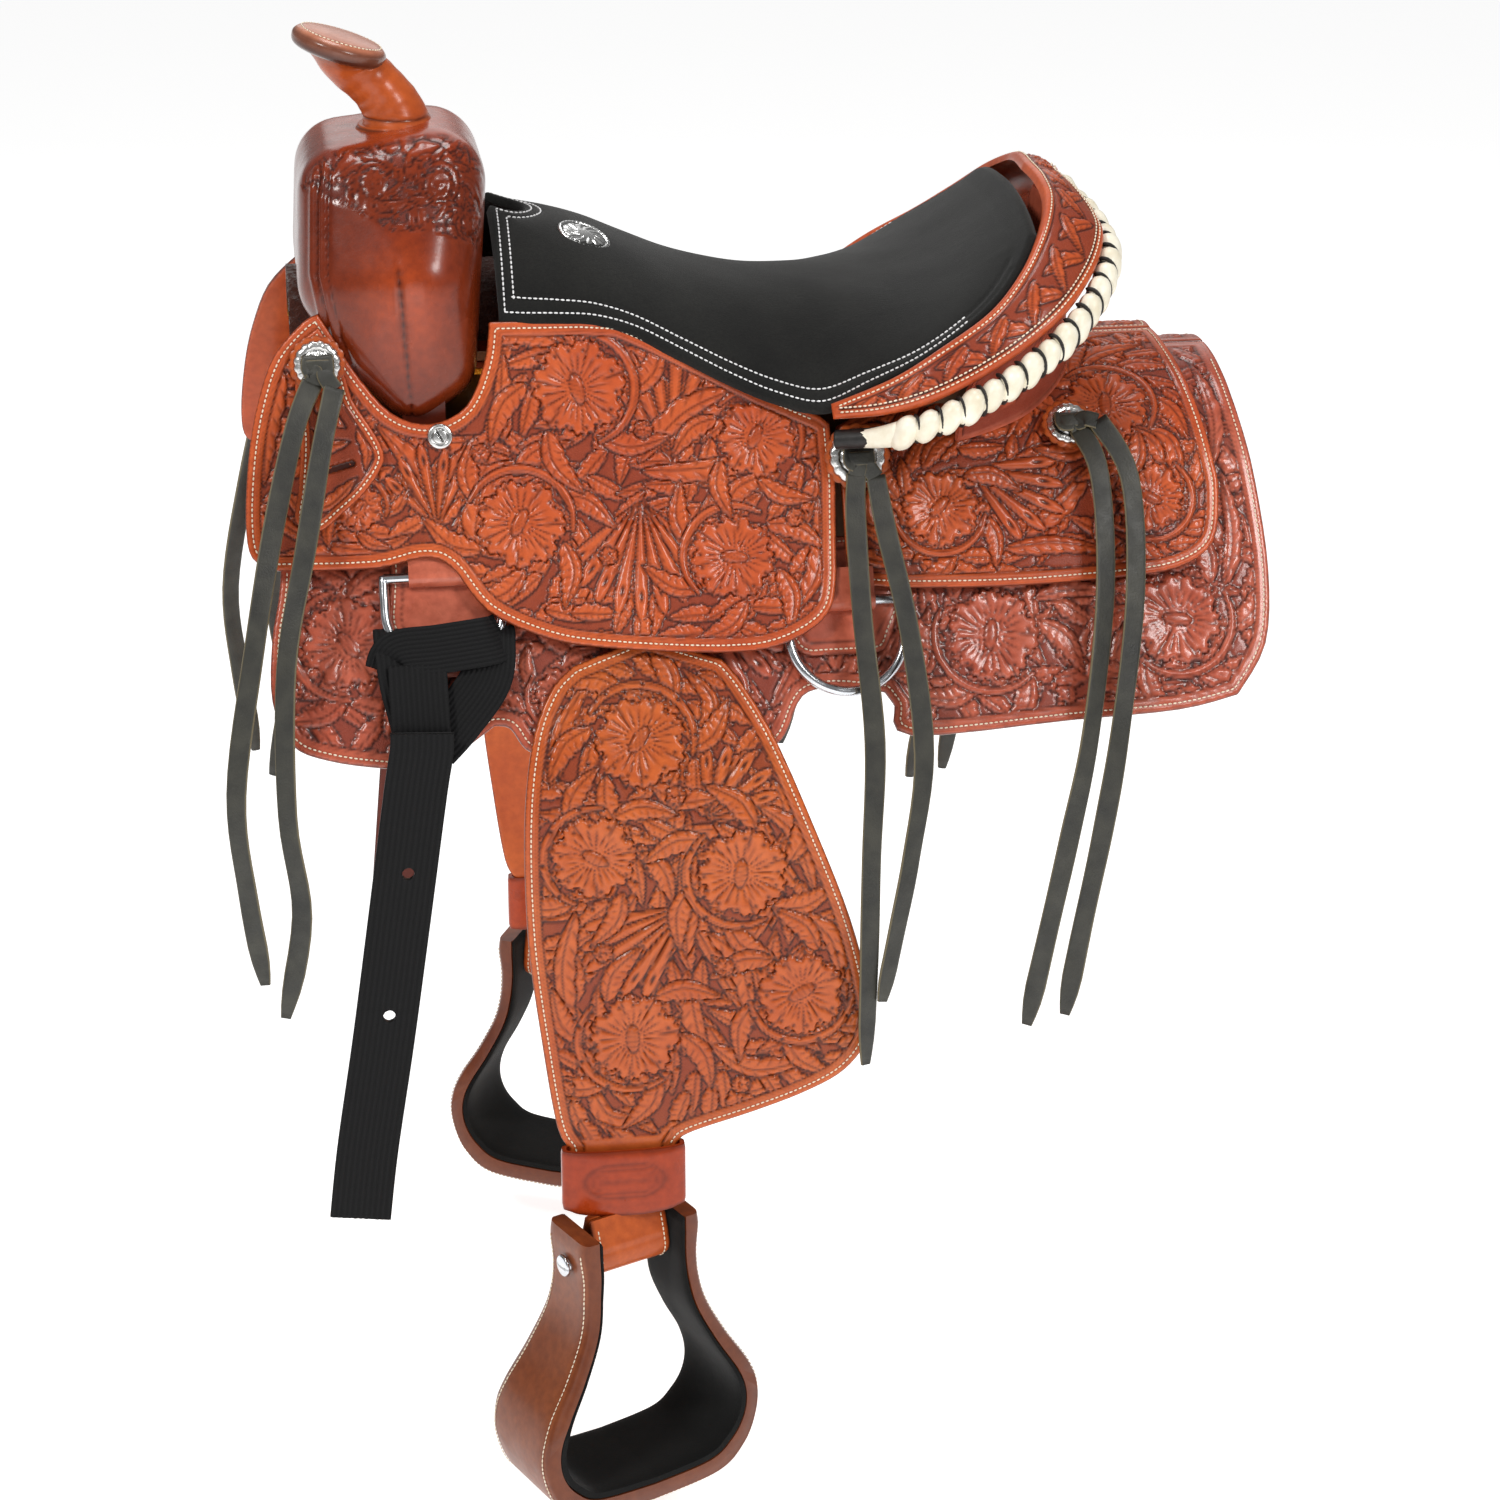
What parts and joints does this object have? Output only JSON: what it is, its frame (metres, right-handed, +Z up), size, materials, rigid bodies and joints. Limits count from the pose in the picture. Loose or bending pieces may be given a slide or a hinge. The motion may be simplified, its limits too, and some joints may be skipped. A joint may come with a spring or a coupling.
{
  "type": "western saddle",
  "caption": "Western riding saddle with horn, swell fork, padded seat, laced cantle, tooled jockeys and skirts, cinch rings, hanging fenders and bell stirrups.",
  "frame": {"origin": "centre of the top of the arch that rests on the horse's back or a rack, under the seat", "axes": "+X towards the rear, +Z up, -Y towards the near (left) side"},
  "size_m": [0.703, 0.5978, 0.9876],
  "materials": {
    "tooled_leather": "glossy, carved and dyed russet",
    "smooth_leather": "polished russet",
    "dark_leather": "satin",
    "string_leather": "matt latigo leather",
    "suede": "napped suede",
    "nylon": "ribbed webbing",
    "fleece": "pile fleece",
    "rawhide": "smooth rawhide",
    "wood": "plain",
    "steel": "bright plated",
    "silver": "engraved nickel silver"
  },
  "bodies": {
    "saddle": {"tree_bars": "wood", "tree_fork": "wood", "tree_cantle": "wood", "ground_seat": "dark_leather", "horn_post": "steel", "horn_wrap": "smooth_leather", "horn_cap": "smooth_leather", "swell_cover": "smooth_leather", "gullet_pad": "fleece", "seat_cover": "suede", "seat_badge": "silver", "cantle_roll": "tooled_leather", "cantle_back": "tooled_leather", "cantle_lacing": "rawhide", "seat_jockey_left": "tooled_leather", "seat_jockey_right": "tooled_leather", "rear_jockey_left": "tooled_leather", "rear_jockey_right": "tooled_leather", "skirt_left": "tooled_leather", "skirt_right": "tooled_leather", "fleece_left": "fleece", "fleece_right": "fleece", "rigging_plates": "dark_leather", "latigo_keeper": "tooled_leather", "conchos": "silver", "jockey_screws": "steel", "string_front_left_a": "string_leather", "string_front_left_b": "string_leather", "string_mid_left_a": "string_leather", "string_mid_left_b": "string_leather", "string_rear_left_a": "string_leather", "string_rear_left_b": "string_leather", "string_front_right_a": "string_leather", "string_front_right_b": "string_leather", "string_mid_right_a": "string_leather", "string_mid_right_b": "string_leather", "string_rear_right_a": "string_leather", "string_rear_right_b": "string_leather"},
    "fender_top_left": {"fender_top_left": "tooled_leather"},
    "fender_left": {"fender_left": "tooled_leather", "hobble_left": "tooled_leather"},
    "stirrup_neck_left": {"stirrup_leather_left": "tooled_leather"},
    "stirrup_left": {"stirrup_left": "tooled_leather", "stirrup_lining_left": "suede", "stirrup_bolt_left": "steel"},
    "front_dee_left": {"front_dee_left": "steel", "latigo_knot": "nylon"},
    "rear_dee_left": {"rear_dee_left": "steel"},
    "fender_top_right": {"fender_top_right": "tooled_leather"},
    "fender_right": {"fender_right": "tooled_leather", "hobble_right": "tooled_leather"},
    "stirrup_neck_right": {"stirrup_leather_right": "tooled_leather"},
    "stirrup_right": {"stirrup_right": "tooled_leather", "stirrup_lining_right": "suede", "stirrup_bolt_right": "steel"},
    "front_dee_right": {"front_dee_right": "steel", "off_billet_knot": "dark_leather"},
    "rear_dee_right": {"rear_dee_right": "steel"},
    "latigo": {"latigo": "nylon"},
    "off_billet": {"off_billet": "dark_leather"}
  },
  "joints": [
    {"name": "fender_swing_left", "type": "hinge", "parent": "saddle", "child": "fender_top_left", "pos_m": [-0.066, -0.13294, -0.088], "axis": [0, -0.866, 0.5], "range_deg": [-8, 8]},
    {"name": "fender_lift_left", "type": "hinge", "parent": "fender_top_left", "child": "fender_left", "pos_m": [-0.066, -0.16926, -0.1457], "axis": [-1, 0, 0], "range_deg": [0, 55]},
    {"name": "stirrup_turn_left", "type": "hinge", "parent": "fender_left", "child": "stirrup_neck_left", "pos_m": [-0.09, -0.228, -0.516], "axis": [0, 0, 1], "range_deg": [-25, 65]},
    {"name": "stirrup_pivot_left", "type": "hinge", "parent": "stirrup_neck_left", "child": "stirrup_left", "pos_m": [-0.09, -0.228, -0.546], "axis": [-0.9063, -0.4226, 0], "range_deg": [-18, 18]},
    {"name": "front_dee_swing_left", "type": "hinge", "parent": "saddle", "child": "front_dee_left", "pos_m": [-0.194, -0.13583, -0.091], "axis": [-1, 0, 0], "range_deg": [0, 5]},
    {"name": "rear_dee_swing_left", "type": "hinge", "parent": "saddle", "child": "rear_dee_left", "pos_m": [0.07, -0.15027, -0.116], "axis": [-1, 0, 0], "range_deg": [0, 7]},
    {"name": "fender_swing_right", "type": "hinge", "parent": "saddle", "child": "fender_top_right", "pos_m": [-0.066, 0.13294, -0.088], "axis": [0, 0.866, 0.5], "range_deg": [-8, 8]},
    {"name": "fender_lift_right", "type": "hinge", "parent": "fender_top_right", "child": "fender_right", "pos_m": [-0.066, 0.16926, -0.1457], "axis": [1, 0, 0], "range_deg": [0, 55]},
    {"name": "stirrup_turn_right", "type": "hinge", "parent": "fender_right", "child": "stirrup_neck_right", "pos_m": [-0.09, 0.228, -0.516], "axis": [0, 0, -1], "range_deg": [-25, 65]},
    {"name": "stirrup_pivot_right", "type": "hinge", "parent": "stirrup_neck_right", "child": "stirrup_right", "pos_m": [-0.09, 0.228, -0.546], "axis": [0.9063, -0.4226, 0], "range_deg": [-18, 18]},
    {"name": "front_dee_swing_right", "type": "hinge", "parent": "saddle", "child": "front_dee_right", "pos_m": [-0.194, 0.13583, -0.091], "axis": [1, 0, 0], "range_deg": [0, 5]},
    {"name": "rear_dee_swing_right", "type": "hinge", "parent": "saddle", "child": "rear_dee_right", "pos_m": [0.07, 0.15027, -0.116], "axis": [1, 0, 0], "range_deg": [0, 7]},
    {"name": "latigo_swing", "type": "hinge", "parent": "front_dee_left", "child": "latigo", "pos_m": [-0.213, -0.208, -0.1745], "axis": [-1, 0, 0], "range_deg": [0, 70]},
    {"name": "off_billet_swing", "type": "hinge", "parent": "front_dee_right", "child": "off_billet", "pos_m": [-0.195, 0.208, -0.1745], "axis": [1, 0, 0], "range_deg": [0, 70]}
  ]
}
